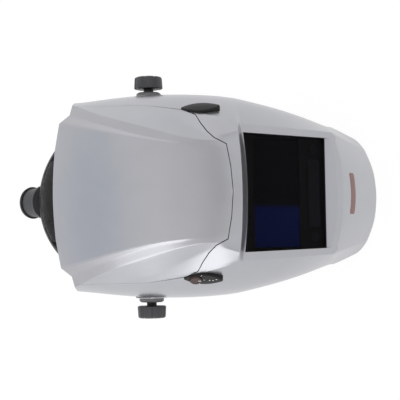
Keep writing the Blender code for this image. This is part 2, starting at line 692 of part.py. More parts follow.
def strap(name, inset, reach, s):
    """Half of the crown strap: up from the band's side and over the head to a little past the middle."""
    bm = bmesh.new()
    pieces = 20
    bmesh.ops.create_grid(bm, x_segments=pieces, y_segments=1, size=1.0)
    bm.verts.ensure_lookup_table()
    base = band_at(CROWN_STRAP_ALONG, 0.0) + GAP + STRAP_THICK + inset
    for k, v in enumerate(bm.verts):
        row, column = divmod(k, pieces + 1)
        y = CROWN_STRAP_ALONG + (row - 0.5) * CROWN_STRAP_WIDTH
        if column == 0:
            v.co = (s * base, y, LOW + 5)
            continue
        turn = math.radians((90 + reach) * (column - 1) / (pieces - 1))
        c, h = math.cos(turn), math.sin(turn)
        v.co = (
            s * math.copysign(base * abs(c) ** 0.75, c),
            y,
            HIGH + (CROWN_STRAP_TOP + inset - HIGH) * h ** 0.9,
        )
    bmesh.ops.recalc_face_normals(bm, faces=bm.faces)
    made = put(name, bm, WORLD, GREY)
    solidify(made, STRAP_THICK, 0.0)
    return made


over = strap("crown_strap_left", 1.1, 12, 1.0)
under = strap("crown_strap_right", -1.1, 12, -1.0)
peg_spot = Matrix.Translation((0, CROWN_STRAP_ALONG, CROWN_STRAP_TOP))
peg_hole = turned("peg_hole", rod(2.8, -20, 20), peg_spot, None, 20)
boolean(over, peg_hole, "DIFFERENCE")
boolean(under, peg_hole, "DIFFERENCE")
peg_top = 1.1 + STRAP_THICK / 2 + GAP
turned(
    "crown_peg",
    [(0, -5), (2.5, -5), (2.5, peg_top), (5.5, peg_top), (5.0, peg_top + 1.6), (0, peg_top + 1.6)],
    peg_spot, BLACK, 20,
)


def pad(name, inset, low, high, start, end, pieces):
    """A soft pad on the band's inner side: crowned, drawn in at its sides, with channels across it."""
    cushion = [
        (-0.86, 0), (-1, 0.3), (-0.92, 0.62), (-0.6, 0.9), (0, 1), (0.6, 0.9), (0.92, 0.62), (1, 0.3), (0.86, 0),
    ]
    bm = bmesh.new()
    rings = []
    for column in range(pieces + 1):
        turn = math.radians(start + (end - start) * column / pieces)
        full = 0.55 if column in (0, pieces) else 0.72 if column % 4 == 0 else 1.0
        ring = []
        for across, depth in cushion:
            deep = inset + PAD_THICK * (depth if depth < 0.5 else 0.5 + (depth - 0.5) * full)
            ring.append(
                bm.verts.new((
                    (BAND_HALF_WIDTH - deep) * math.sin(turn),
                    BAND_BACK - (BAND_LONG - deep) * math.cos(turn),
                    (low + high) / 2 + across * (high - low) / 2,
                ))
            )
        rings.append(ring)
    for one, two in zip(rings, rings[1:]):
        for k in range(len(cushion)):
            bm.faces.new((one[k - 1], one[k], two[k], two[k - 1]))
    bm.faces.new(rings[0])
    bm.faces.new(rings[-1])
    return put(name, bm, WORLD, FOAM)


PAD_IN = STRAP_THICK + 2 * GAP + BAND_THICK
pad("sweatband", PAD_IN, LOW - 3, HIGH + 3, -62, 62, 24)
pad("nape_pad", STRAP_THICK + GAP + 1.6, LOW + 1, HIGH - 1, 146, 214, 16)

# Ratchet at the back: a drum over the strap ends, a cover inside, and the knob with its pinion.
BACK_SIDE = Matrix.Translation((0, BAND_REAR, BAND_RISE)) @ Matrix.Rotation(math.radians(-90), 4, "X")
drum = turned(
    "ratchet_housing",
    [
        (6.5, 0.0), (DRUM_RADIUS + 2.4, 0.0), (DRUM_RADIUS + 2.4, 3.0), (DRUM_RADIUS, 5.0),
        (DRUM_RADIUS, DRUM_LENGTH), (6.5, DRUM_LENGTH),
    ],
    BACK_SIDE, GREY, 36,
)
top = DRUM_LENGTH + GAP
turned(
    "ratchet_knob",
    [
        (0, top), (RATCHET_RADIUS - 0.8, top), (RATCHET_RADIUS, top + 0.8), (RATCHET_RADIUS - 0.6, top + 3),
        (RATCHET_RADIUS - 4.2, top + 5.2), (RATCHET_RADIUS - 5, top + RATCHET_LENGTH - 1.2),
        (RATCHET_RADIUS - 6.4, top + RATCHET_LENGTH), (0, top + RATCHET_LENGTH),
    ],
    BACK_SIDE, BLACK, 36,
)
turned("ratchet_pinion", rod(6.0, 1.0, DRUM_LENGTH), BACK_SIDE, GREY, 24)
cover = band("ratchet_cover", STRAP_THICK + GAP + 0.6, 1.2, LOW + 3, HIGH - 3, 160, 200, GREY, 12)
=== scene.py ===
"""Looks of a welding helmet: silver shell, dark filter window, black pods, padded headgear."""
import math

import bmesh
import bpy
from mathutils import Matrix, Vector
from mathutils.bvhtree import BVHTree


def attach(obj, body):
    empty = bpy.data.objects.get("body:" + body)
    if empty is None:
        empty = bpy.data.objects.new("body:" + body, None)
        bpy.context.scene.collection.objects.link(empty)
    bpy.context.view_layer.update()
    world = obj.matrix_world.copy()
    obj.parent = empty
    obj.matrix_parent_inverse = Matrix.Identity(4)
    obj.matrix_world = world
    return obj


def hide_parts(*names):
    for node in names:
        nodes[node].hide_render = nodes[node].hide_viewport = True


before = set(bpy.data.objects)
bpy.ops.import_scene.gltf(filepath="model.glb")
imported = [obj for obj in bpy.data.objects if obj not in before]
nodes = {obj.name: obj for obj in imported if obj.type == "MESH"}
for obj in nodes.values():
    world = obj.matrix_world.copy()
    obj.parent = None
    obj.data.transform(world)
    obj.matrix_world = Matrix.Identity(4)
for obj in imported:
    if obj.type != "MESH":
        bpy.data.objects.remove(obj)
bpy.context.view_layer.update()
scene = bpy.context.scene
scene.view_settings.view_transform = "Standard"

# Camera: looks down on the face along the shell's own axis, a touch from the wearer's right,
# with the crown at the picture's left. Lens, turn and stand-off are fitted to the photograph.
SHELL_TILT = 43.0
SENSOR_WIDTH = 36.0
FOCAL_PIXELS = 1214.0
PHOTO_PIXELS = 400.0
ROLL, SWING, NOD = 0.98, 0.72, -2.25
SHELL = Matrix.Rotation(math.radians(SHELL_TILT), 4, "X")
camera = bpy.data.objects.new("camera", bpy.data.cameras.new("camera"))
scene.collection.objects.link(camera)
scene.camera = camera
camera.data.lens = SENSOR_WIDTH * FOCAL_PIXELS / PHOTO_PIXELS
camera.data.clip_end = 50.0
turn = (
    Matrix.Rotation(math.radians(ROLL), 4, "Z")
    @ Matrix.Rotation(math.radians(SWING), 4, "Y")
    @ Matrix.Rotation(math.radians(NOD), 4, "X")
)
to_picture = Matrix(((0, -1, 0, 0), (1, 0, 0, 0), (0, 0, 1, 0), (0, 0, 0, 1)))
stand_off = Matrix.Translation((0.0475, -0.0027, 1.157))
camera.matrix_world = (turn @ to_picture @ SHELL.inverted()).inverted() @ stand_off

# Studio: a broad soft sky, dark low down, with a key lamp on the wearer's right and a weak panel
# at each side. The floor shows white to the camera, through glass and in metal, and lights nothing else.
SKY_TOWARD = (-0.06, 0.35, 0.935)
LAMPS_AIM = Vector((0, -0.05, -0.02))
FLOOR_AT = -0.1955
FLOOR_SEEN = 0.92
world = bpy.data.worlds.new("studio")
scene.world = world
world.use_nodes = True
tree = world.node_tree
back = tree.nodes["Background"]
toward = tree.nodes.new("ShaderNodeTexCoord")
dome = tree.nodes.new("ShaderNodeVectorMath")
dome.operation = "DOT_PRODUCT"
dome.inputs[1].default_value = SKY_TOWARD
tree.links.new(toward.outputs["Generated"], dome.inputs[0])
spread = tree.nodes.new("ShaderNodeMapRange")
spread.inputs["From Min"].default_value = -1.0
tree.links.new(dome.outputs["Value"], spread.inputs["Value"])
sky = tree.nodes.new("ShaderNodeValToRGB")
sky.color_ramp.interpolation = "EASE"
low, high = sky.color_ramp.elements
low.position, low.color = 0.1, (0.09, 0.09, 0.105, 1.0)
high.position, high.color = 0.56, (0.95, 0.94, 0.94, 1.0)
for position, colour in ((0.84, (0.98, 0.97, 0.97, 1.0)), (1.0, (0.75, 0.79, 0.86, 1.0))):
    sky.color_ramp.elements.new(position).color = colour
tree.links.new(spread.outputs["Result"], sky.inputs["Fac"])
tree.links.new(sky.outputs["Color"], back.inputs["Color"])
for name, place, wide, tall, power in (
    ("key", (-1.3, -0.35, 0.35), 1.0, 1.0, 4.0),
    ("right_panel", (-1.0, 0.15, -0.03), 1.3, 0.44, 0.4),
    ("left_panel", (1.0, 0.15, -0.03), 1.3, 0.44, 0.3),
):
    lamp = bpy.data.objects.new(name, bpy.data.lights.new(name, "AREA"))
    lamp.data.energy = power
    lamp.data.shape = "RECTANGLE"
    lamp.data.size = wide
    lamp.data.size_y = tall
    lamp.location = place
    aim = LAMPS_AIM - Vector(place)
    lamp.rotation_euler = aim.to_track_quat("-Z", "Y").to_euler()
    scene.collection.objects.link(lamp)
bm = bmesh.new()
bmesh.ops.create_grid(bm, x_segments=1, y_segments=1, size=20.0)
bmesh.ops.translate(bm, vec=(0, 0, FLOOR_AT), verts=bm.verts)
floor_mesh = bpy.data.meshes.new("floor")
bm.to_mesh(floor_mesh)
bm.free()
floor = bpy.data.objects.new("floor", floor_mesh)
scene.collection.objects.link(floor)
white = bpy.data.materials.new("floor")
white.use_nodes = True
shade = white.node_tree.nodes["Principled BSDF"]
shade.inputs["Base Color"].default_value = (0.1, 0.1, 0.103, 1)
shade.inputs["Roughness"].default_value = 0.9
shade.inputs["Specular IOR Level"].default_value = 0.0
rays = white.node_tree.nodes.new("ShaderNodeLightPath")
total = None
for ray in ("Is Camera Ray", "Is Transmission Ray", "Is Glossy Ray"):
    share = white.node_tree.nodes.new("ShaderNodeMath")
    share.operation = "MULTIPLY_ADD"
    share.inputs[1].default_value = FLOOR_SEEN
    share.inputs[2].default_value = 0.0
    white.node_tree.links.new(rays.outputs[ray], share.inputs[0])
    if total:
        white.node_tree.links.new(total.outputs[0], share.inputs[2])
    total = share
white.node_tree.links.new(total.outputs[0], shade.inputs["Emission Strength"])
shade.inputs["Emission Color"].default_value = (1, 1, 1, 1)
floor_mesh.materials.append(white)

# Finishes: one shared grain and one shared edge wear, each a node group that the materials draw on.
# Grain gives fine relief and a broad unevenness; wear finds worn edges and breaks them up.
grain = bpy.data.node_groups.new("moulded_grain", "ShaderNodeTree")
grain.interface.new_socket("Scale", in_out="INPUT", socket_type="NodeSocketFloat")
grain.interface.new_socket("Relief", in_out="OUTPUT", socket_type="NodeSocketFloat")
grain.interface.new_socket("Uneven", in_out="OUTPUT", socket_type="NodeSocketFloat")
given = grain.nodes.new("NodeGroupInput")
made = grain.nodes.new("NodeGroupOutput")
spot = grain.nodes.new("ShaderNodeTexCoord")
fine = grain.nodes.new("ShaderNodeTexNoise")
fine.inputs["Detail"].default_value = 3.0
broad = grain.nodes.new("ShaderNodeTexNoise")
broad.inputs["Scale"].default_value = 45.0
broad.inputs["Detail"].default_value = 6.0
grain.links.new(given.outputs["Scale"], fine.inputs["Scale"])
for noise, result in ((fine, "Relief"), (broad, "Uneven")):
    grain.links.new(spot.outputs["Object"], noise.inputs["Vector"])
    grain.links.new(noise.outputs["Fac"], made.inputs[result])
wear = bpy.data.node_groups.new("edge_wear", "ShaderNodeTree")
wear.interface.new_socket("Start", in_out="INPUT", socket_type="NodeSocketFloat")
wear.interface.new_socket("Wear", in_out="OUTPUT", socket_type="NodeSocketFloat")
given = wear.nodes.new("NodeGroupInput")
made = wear.nodes.new("NodeGroupOutput")
shape = wear.nodes.new("ShaderNodeNewGeometry")
spot = wear.nodes.new("ShaderNodeTexCoord")
scuffs = wear.nodes.new("ShaderNodeTexNoise")
scuffs.inputs["Scale"].default_value = 160.0
scuffs.inputs["Detail"].default_value = 8.0
edge = wear.nodes.new("ShaderNodeMapRange")
edge.inputs["From Max"].default_value = 0.62
both = wear.nodes.new("ShaderNodeMath")
both.operation = "MULTIPLY"
wear.links.new(given.outputs["Start"], edge.inputs["From Min"])
wear.links.new(shape.outputs["Pointiness"], edge.inputs["Value"])
wear.links.new(spot.outputs["Object"], scuffs.inputs["Vector"])
wear.links.new(edge.outputs["Result"], both.inputs[0])
wear.links.new(scuffs.outputs["Fac"], both.inputs[1])
wear.links.new(both.outputs[0], made.inputs["Wear"])


def paint(
    name, colour, roughness, metallic=0.0, coat=0.0, scale=1400.0, relief=0.1, uneven=0.1, worn=None
):
    """A moulded or painted finish: fine relief, slight unevenness in tone and gloss, worn edges."""
    look = bpy.data.materials.new(name)
    look.use_nodes = True
    tree = look.node_tree
    shader = tree.nodes["Principled BSDF"]
    shader.inputs["Metallic"].default_value = metallic
    shader.inputs["Coat Weight"].default_value = coat
    shader.inputs["Coat Roughness"].default_value = 0.08
    texture = tree.nodes.new("ShaderNodeGroup")
    texture.node_tree = grain
    texture.inputs["Scale"].default_value = scale
    tone = tree.nodes.new("ShaderNodeMix")
    tone.data_type = "RGBA"
    tone.inputs["A"].default_value = (*[c * (1 - uneven) for c in colour], 1.0)
    tone.inputs["B"].default_value = (*[c * (1 + uneven) for c in colour], 1.0)
    tree.links.new(texture.outputs["Uneven"], tone.inputs["Factor"])
    skin = tone.outputs["Result"]
    if worn:
        rubbed = tree.nodes.new("ShaderNodeGroup")
        rubbed.node_tree = wear
        rubbed.inputs["Start"].default_value = 0.53
        edges = tree.nodes.new("ShaderNodeMix")
        edges.data_type = "RGBA"
        edges.inputs["B"].default_value = (*worn, 1.0)
        tree.links.new(rubbed.outputs["Wear"], edges.inputs["Factor"])
        tree.links.new(skin, edges.inputs["A"])
        skin = edges.outputs["Result"]
    tree.links.new(skin, shader.inputs["Base Color"])
    gloss = tree.nodes.new("ShaderNodeMapRange")
    gloss.inputs["To Min"].default_value = roughness * (1 - 1.5 * uneven)
    gloss.inputs["To Max"].default_value = roughness * (1 + 1.5 * uneven)
    tree.links.new(texture.outputs["Uneven"], gloss.inputs["Value"])
    tree.links.new(gloss.outputs["Result"], shader.inputs["Roughness"])
    bump = tree.nodes.new("ShaderNodeBump")
    bump.inputs["Strength"].default_value = relief
    bump.inputs["Distance"].default_value = 0.0002
    tree.links.new(texture.outputs["Relief"], bump.inputs["Height"])
    tree.links.new(bump.outputs["Normal"], shader.inputs["Normal"])
    return look


# Shell: sections like those of the solids, with fold, shoulder and chin set again to the photograph.
# They are drawn much finer, then trimmed to the rim and parted along the seam.
# Silver metallic paint outside, bare black moulding inside.
SHELL_HALF_WIDTH = 97.0
SHELL_WALL = 2.6
CROWN_RADIUS = 122.0
PANEL_STEP = 6.0
SEAM_GAP = 0.6
LENS_TILT = 30.0
LENS_ALONG = 127.5
LENS_OUT = 45.0
LENS_WIDTH = 112.0
LENS_HEIGHT = 96.8
LENS_LAP = 2.3
FRAME_RISE = 10.5
FRAME_SAG = 6.0
FRAME_BORDER = 8.0
BROW_DROP = 16.0
PANEL_END = 44.0
PANEL_FADE = 130.0
FIN_STEP = 1.4 * PANEL_STEP
FRAME_TAPER = 4.8
CHIN_ROUND = 6.0
SKIRT_LOW = -76.0
SKIRT_DROP = 24.0
GAP = 0.3
silver = paint(
    "silver_paint", (0.44, 0.445, 0.47), 0.3, 0.85, 0.1, 2600.0, 0.05, 0.05, (0.62, 0.62, 0.64)
)
inner = paint("shell_inside", (0.03, 0.03, 0.032), 0.55, 0.0, 0.0, 1500.0, 0.25, 0.12)


def along(points, at):
    """The smooth curve through (place, value) points, read at one place."""
    if at <= points[0][0]:
        return points[0][1]
    if at >= points[-1][0]:
        return points[-1][1]
    last = len(points) - 1
    i = max(k for k in range(last) if points[k][0] <= at)
    (x0, y0), (x1, y1) = points[i], points[i + 1]
    span = x1 - x0
    slope = (y1 - y0) / span
    before = (y1 - points[i - 1][1]) / (x1 - points[i - 1][0]) if i > 0 else slope
    after = (points[i + 2][1] - y0) / (points[i + 2][0] - x0) if i + 1 < last else slope
    s = (at - x0) / span
    return (
        y0 * (1 + 2 * s) * (1 - s) ** 2
        + y1 * s * s * (3 - 2 * s)
        + span * (before * s * (1 - s) ** 2 - after * s * s * (1 - s))
    )


LENS = (
    SHELL
    @ Matrix.Translation((0, -LENS_ALONG, LENS_OUT))
    @ Matrix.Rotation(math.radians(LENS_TILT), 4, "X")
)
SIDE = {
    "left": Matrix.Rotation(math.radians(90), 4, "Y"),
    "right": Matrix.Rotation(math.radians(-90), 4, "Y"),
}
SIGN = {"left": 1.0, "right": -1.0}
MIDLINE = [
    (-104, 50), (-86, 72), (-60, 96), (-30, 111), (0, 116.5), (30, 115), (60, 107.5), (84, 97),
]
PANEL_EDGE = [(-104, 71), (-80, 65.3), (-55, 59), (-23, 50.7), (13, 43), (44, 40), (84, 33)]
PANEL_FOOT = [
    (-104, 80), (-70, 73), (-52, 65.5), (-26, 56), (-7, 50), (14, 45.5), (44, 42), (84, 39),
]
FIN = [
    (-104, 88), (-68, 84), (-58, 77.5), (-50, 73.5), (-33, 67), (-10, 60), (14, 52.5), (47, 45),
    (84, 46),
]
BROW_FOLD = [
    (-104, 90), (-68, 85.5), (-50, 80), (-20, 77), (0, 74.5), (20, 66), (47, 53.5), (62, 48.5),
    (84, 54),
]
FOLD_OUT = [
    (-104, 8), (-68, 45), (-50, 60), (-20, 73), (0, 78), (20, 86), (47, 92), (62, 95.5), (84, 87.3),
]
SHOULDER = [
    (-104, 91.5), (-68, 87), (-50, 83.5), (-20, 81.5), (0, 80), (20, 76.5), (33, 74), (49, 71),
    (70, 66),
]
SHOULDER_OUT = [
    (-104, 0), (-68, 36), (-50, 53), (-20, 65.5), (0, 70), (20, 73.5), (33, 74), (49, 76),
    (70, 81), (84, 81),
]
WIDEST = [
    (-104, 84), (-68, 88.5), (-50, 91), (-18, 95), (15, 97), (47, 97), (80, 94.5), (105, 89.5),
    (128, 84), (150, 77.5), (165, 72), (180, 67), (199, 59.5), (212, 54), (228, 47.5), (246, 38),
]
WIDEST_OUT = [
    (-104, -14), (-68, 20), (-50, 32), (0, 38), (47, 36), (80, 30), (105, 18), (128, 5), (150, -10),
    (165, -22), (180, -35), (199, -52), (212, -62), (228, -80), (246, -104),
]
CHIN = [(182, 25), (193, 8), (208, -21), (226, -57), (246, -96)]
CHIN_HALF = [(182, 57.5), (193, 53.5), (208, 49.5), (226, 44.5), (246, 36)]
SWEEP = [(-104, 0), (30, 0), (84, 10), (89.5, 16), (176, 27), (182, 31), (246, 45)]
SHARES = (0.0, 0.46, 0.61, 0.74, 0.87, 1.0)
BROW_AT = 84.0
LIP_AT = 89.5
SILL_AT = 176.0
FRAME_END = 182.0
ROWS = (
    -104, -86, -68, -50, -30, -8, 14, 34, 52, 66, 76, BROW_AT, LIP_AT,
    112, 134, 156, SILL_AT, FRAME_END, 193, 208, 226, 246,
)
WIDE = SHELL_HALF_WIDTH / 97.0
OPEN_TOP = LENS_HEIGHT / 2 - LENS_LAP
OPEN_HALF = LENS_WIDTH / 2 - LENS_LAP
FRAME_HALF = OPEN_HALF + FRAME_BORDER


def frame_out(x, l):
    """How far out the window frame stands: a plane along the lens, falling away to each side."""
    tilt = math.radians(LENS_TILT)
    rise = FRAME_RISE - FRAME_SAG * (x / OPEN_HALF) ** 2
    return LENS_OUT - (l - LENS_ALONG) * math.tan(tilt) + rise / math.cos(tilt)


def section(t):
    """Half of one shell section, from the midline to below the rim, as (x, l, d) points."""
    sweep = along(SWEEP, t) / 1e4
    points = []
    if t <= BROW_AT:
        middle = along(MIDLINE, t)
        fade = max(0.0, PANEL_END - t) / PANEL_FADE
        xs = [along(line, t) * WIDE for line in (PANEL_EDGE, PANEL_FOOT, FIN, BROW_FOLD)]
        xs = [0.0] + xs + [along(SHOULDER + [(BROW_AT, FRAME_HALF / WIDE)], t) * WIDE]
        arc = [middle - x * x / (2 * CROWN_RADIUS) for x in xs]
        ds = [arc[0], arc[1], arc[2] - PANEL_STEP * fade, arc[3] - FIN_STEP * fade]
        ds += [along(FOLD_OUT, t), along(SHOULDER_OUT, t)]
        if t == BROW_AT:
            ds = [middle - BROW_DROP * (x / FRAME_HALF) ** 2 for x in xs]
            ds[4] = along(FOLD_OUT, t)
        points = [(x, t - sweep * x * x, d) for x, d in zip(xs, ds)]
    elif t <= FRAME_END:
        half = FRAME_HALF - FRAME_TAPER * (t - LIP_AT) / (FRAME_END - LIP_AT)
        for share in SHARES:
            x = share * half
            l = t - sweep * x * x
            points.append((x, l, frame_out(x, l)))
    else:
        half = along(CHIN_HALF, t)
        for share in SHARES:
            x = share * half
            points.append((x, t - sweep * x * x, along(CHIN, t) - CHIN_ROUND * share * share))
    l = points[-1][1]
    x, d = along(WIDEST, l) * WIDE, along(WIDEST_OUT, l)
    low = min(SKIRT_LOW, d - SKIRT_DROP)
    points += [(x, l, d), (x - 2.5, l, 0.55 * d + 0.45 * low), (x - 5.5, l, low)]
    return points


def show(name, bm, place, *looks):
    """A mesh drawn in millimetres becomes a piece at the origin, in metres."""
    bm.transform(Matrix.Scale(0.001, 4) @ place)
    bmesh.ops.recalc_face_normals(bm, faces=bm.faces)
    mesh = bpy.data.meshes.new(name)
    bm.to_mesh(mesh)
    bm.free()
    for look in looks:
        mesh.materials.append(look)
    piece = bpy.data.objects.new(name, mesh)
    scene.collection.objects.link(piece)
    return piece


def settle(piece):
    """Modifiers become the piece's own mesh."""
    bpy.context.view_layer.update()
    shape = piece.evaluated_get(bpy.context.evaluated_depsgraph_get())
    mesh = bpy.data.meshes.new_from_object(shape)
    piece.modifiers.clear()
    piece.data = mesh


def carve(piece, cutter, operation):
    """A Boolean of the piece with a cutter, left as a modifier until the piece is settled."""
    step = piece.modifiers.new(cutter.name, "BOOLEAN")
    step.operation = operation
    step.solver = "EXACT"
    step.object = cutter
    cutter.hide_render = True
    return cutter


def slab(outline, low, high):
    """An outline raised from one height to another."""
    bm = bmesh.new()
    base = bm.faces.new([bm.verts.new((x, y, low)) for x, y in outline])
    raised = bmesh.ops.extrude_face_region(bm, geom=[base])
    tops = [v for v in raised["geom"] if isinstance(v, bmesh.types.BMVert)]
    bmesh.ops.translate(bm, vec=(0, 0, high - low), verts=tops)
    return bm


def block(name, outline, low, high, place, *looks):
    """A slab shown as a piece."""
    return show(name, slab(outline, low, high), place, *looks)


def bridge(bm, rings):
    """Faces between each ring of points and the next."""
    for one, two in zip(rings, rings[1:]):
        for k in range(len(one)):
            bm.faces.new((one[k - 1], one[k], two[k], two[k - 1]))


def lathe(name, profile, place, *looks, steps=96):
    """A profile of (radius, height) points turned about its axis."""
    bm = bmesh.new()
    ring = [bm.verts.new((r, 0.0, h)) for r, h in profile]
    edges = [bm.edges.new(pair) for pair in zip(ring, ring[1:])]
    if profile[0][0] > 0.0:
        edges.append(bm.edges.new((ring[-1], ring[0])))
    bmesh.ops.spin(
        bm, geom=ring + edges, cent=(0, 0, 0), axis=(0, 0, 1),
        angle=math.tau, steps=steps, use_merge=True,
    )
    bmesh.ops.remove_doubles(bm, verts=bm.verts, dist=1e-4)
    return show(name, bm, place, *looks)


def smooth(piece, angle):
    """Smooth shading, with edges sharper than an angle kept crisp."""
    piece.data.shade_smooth()
    piece.data.set_sharp_from_angle(angle=math.radians(angle))


columns = len(section(0.0))
bm = bmesh.new()
bmesh.ops.create_grid(bm, x_segments=2 * columns - 2, y_segments=len(ROWS) - 1, size=1.0)
bm.verts.ensure_lookup_table()
across = 2 * columns - 1
sections = [section(t) for t in ROWS]
for k, v in enumerate(bm.verts):
    row, column = divmod(k, across)
    step = column - (columns - 1)
    x, l, d = sections[row][abs(step)]
    v.co = (math.copysign(x, step), -l, d)
crease = bm.edges.layers.float.new("crease_edge")
for e in bm.edges:
    spots = [divmod(v.index, across) for v in e.verts]
    rows = [ROWS[s[0]] for s in spots]
    spans = [abs(s[1] - (columns - 1)) for s in spots]
    here = sum(rows) / 2
    if spans[0] == spans[1]:
        if spans[0] in (1, 2) and here < PANEL_END:
            e[crease] = 0.95 if here < 20 else 0.6
        elif spans[0] in (3, 4) and here < 60:
            e[crease] = 0.95
        elif spans[0] == 4 and here < BROW_AT:
            e[crease] = 0.85
        elif spans[0] == 5:
            e[crease] = 0.85 if here < FRAME_END else 0.95
        elif spans[0] == 6 and here > FRAME_END:
            e[crease] = 0.8
    elif max(spans) <= 5 and rows[0] in (BROW_AT, LIP_AT, FRAME_END):
        e[crease] = 0.9 if rows[0] != FRAME_END else 0.6
body = show("shell_body", bm, SHELL, silver, inner)
rounding = body.modifiers.new("rounding", "SUBSURF")
rounding.levels = rounding.render_levels = 3
settle(body)
thick = bmesh.new()
thick.from_mesh(body.data)
outside = list(thick.verts)
edge_loop = [e for e in thick.edges if e.is_boundary]
twin = bmesh.ops.duplicate(thick, geom=list(thick.verts) + list(thick.edges) + list(thick.faces))
beneath = {v: twin["vert_map"][v] for v in outside}
under = [g for g in twin["geom"] if isinstance(g, bmesh.types.BMFace)]
for step in range(6):
    bmesh.ops.smooth_vert(
        thick, verts=list(beneath.values()), factor=0.5,
        use_axis_x=True, use_axis_y=True, use_axis_z=True,
    )
thick.normal_update()
for v in beneath.values():
    v.co -= v.normal * SHELL_WALL * 0.001
for f in under:
    f.material_index = 1
bmesh.ops.reverse_faces(thick, faces=under)
for e in edge_loop:
    v, w = e.verts
    thick.faces.new((v, w, beneath[w], beneath[v]))
bmesh.ops.recalc_face_normals(thick, faces=thick.faces)
thick.to_mesh(body.data)
thick.free()
RIM = [
    (-120, 140), (-90, 74), (-68, 34), (-58, 16), (-45, 0), (-25, -22), (0, -40), (30, -53),
    (60, -56), (250, -56), (250, 140),
]
flip = Matrix.Rotation(math.radians(90), 4, "Y") @ Matrix.Rotation(math.radians(90), 4, "Z")
keep = block("rim_keep", [(-l, d) for l, d in RIM], -130, 130, SHELL @ flip)
spent = [carve(body, keep, "INTERSECT")]
REAR = [(-86, 0), (-84.5, 35), (-79.5, 65.3), (-70, 73), (-67, 88), (-66, 120)]
half = [(x * WIDE, -l) for l, x in REAR]
rear = [(120, 160), (-120, 160)] + [(-x, y) for x, y in half[:0:-1]] + half
spent.append(carve(body, block("rear_cut", rear, 25, 150, SHELL), "DIFFERENCE"))
settle(body)
tree = BVHTree.FromObject(body, bpy.context.evaluated_depsgraph_get())

SEAM = [
    (75.6, 0), (74, 22), (70.5, 42), (60, 47.5), (54, 53.5), (48.5, 61.5), (44, 70), (33, 75),
    (0, 79.5), (-104, 81.5),
]


def seam(inset):
    """The parting line drawn in by an inset, which tapers away along the sides."""
    half = []
    for l, x in SEAM:
        open_by = inset * min(1.0, max(0.15, (l + 10.0) / 60.0))
        half.append((max(0.0, x * WIDE - open_by * (x > 0)), -l + open_by * (l > -90)))
    half[-1] = (half[-1][0], 110.0)
    return half[::-1] + [(-x, y) for x, y in half[1:]]


crown = bpy.data.objects.new("crown_cover", body.data.copy())
scene.collection.objects.link(crown)
spent.append(carve(crown, block("crown_keep", seam(SEAM_GAP), 20, 150, SHELL), "INTERSECT"))
face = body
face.name = "face_cover"
spent.append(carve(face, block("seam_cut", seam(0.0), 20, 150, SHELL), "DIFFERENCE"))

# Seam lap: a black tongue behind the parting line, so that the joint reads as a dark line
# and lets no light in. It lies along the inner surface, below the wall.
LAP_HALF = 1.8
LAP_TOP = 0.25
LAP_LOW = 1.5
LAP_STEP = 2.5
lap_black = paint("lap_black", (0.012, 0.012, 0.013), 0.6, 0.0, 0.0, 1500.0, 0.15)
out = (SHELL.to_3x3() @ Vector((0, 0, 1))).normalized()


def below(x, y):
    """The inner surface under a place of the shell frame, in that frame."""
    start = (SHELL @ Vector((x, y, 150))) * 0.001
    outer = tree.ray_cast(start, -out)[0]
    under = tree.ray_cast(outer - out * 0.0004, -out)[0] if outer else None
    return SHELL.inverted() @ (under * 1000) if under else None


line = [p for p in seam(0.3) if p[1] < 80]
path = []
for (x0, y0), (x1, y1) in zip(line, line[1:]):
    count = max(1, round(math.hypot(x1 - x0, y1 - y0) / LAP_STEP))
    path += [(x0 + (x1 - x0) * k / count, y0 + (y1 - y0) * k / count) for k in range(count)]
path.append(line[-1])
bm = bmesh.new()
rings = []
for k, (x, y) in enumerate(path):
    (xa, ya), (xb, yb) = path[max(k - 2, 0)], path[min(k + 2, len(path) - 1)]
    long = math.hypot(xb - xa, yb - ya)
    nx, ny = (yb - ya) / long, (xa - xb) / long
    marks = [below(x + nx * o, y + ny * o) for o in (-LAP_HALF, 0.0, LAP_HALF)]
    if None in marks:
        continue
    ring = [bm.verts.new(m - Vector((0, 0, LAP_TOP))) for m in marks]
    ring += [bm.verts.new(m - Vector((0, 0, LAP_LOW))) for m in reversed(marks)]
    rings.append(ring)
bridge(bm, rings)
bm.faces.new(rings[0])
bm.faces.new(rings[-1])
lap = show("seam_lap", bm, SHELL, lap_black)
smooth(lap, 40)
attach(lap, "shell")

# Window: a flange stands behind the opening to carry the lens, and the sill slopes out to the chin.
# The pods' eye-shaped holes and the pivot bosses are opened in the same mesh.
LENS_RISE = 4.6
SILL_DRAFT = 8.8
SILL_NARROW = 2.5
SIDE_POINTS = 24
FLANGE_WALL = 2.6
FLANGE_SHY = 1.2
GASKET_THICK = 1.0
POD_LENGTH = 38.0
POD_HEIGHT = 14.4
POD_ACROSS = 77.0
POD_ALONG = 48.5
POD_OUT = 70.0
POD_LEAN = 55
POD_TWIST = 6
EYE_POINTS = 24
PIVOT_BORE = 5.9
BOSS_RADIUS = 15.0
BOSS_DEEP = 7.6
MIDDLE = LENS_RISE
SEAT = GASKET_THICK + 2 * GAP


def opening(grow, sill=0.0):
    """The window's outline in the lens plane, a little narrower at its sill."""
    half, top = OPEN_HALF + grow, OPEN_TOP + grow
    low = MIDDLE - top - sill
    high = MIDDLE + top
    return [(half, high), (-half, high), (-half + SILL_NARROW, low), (half - SILL_NARROW, low)]


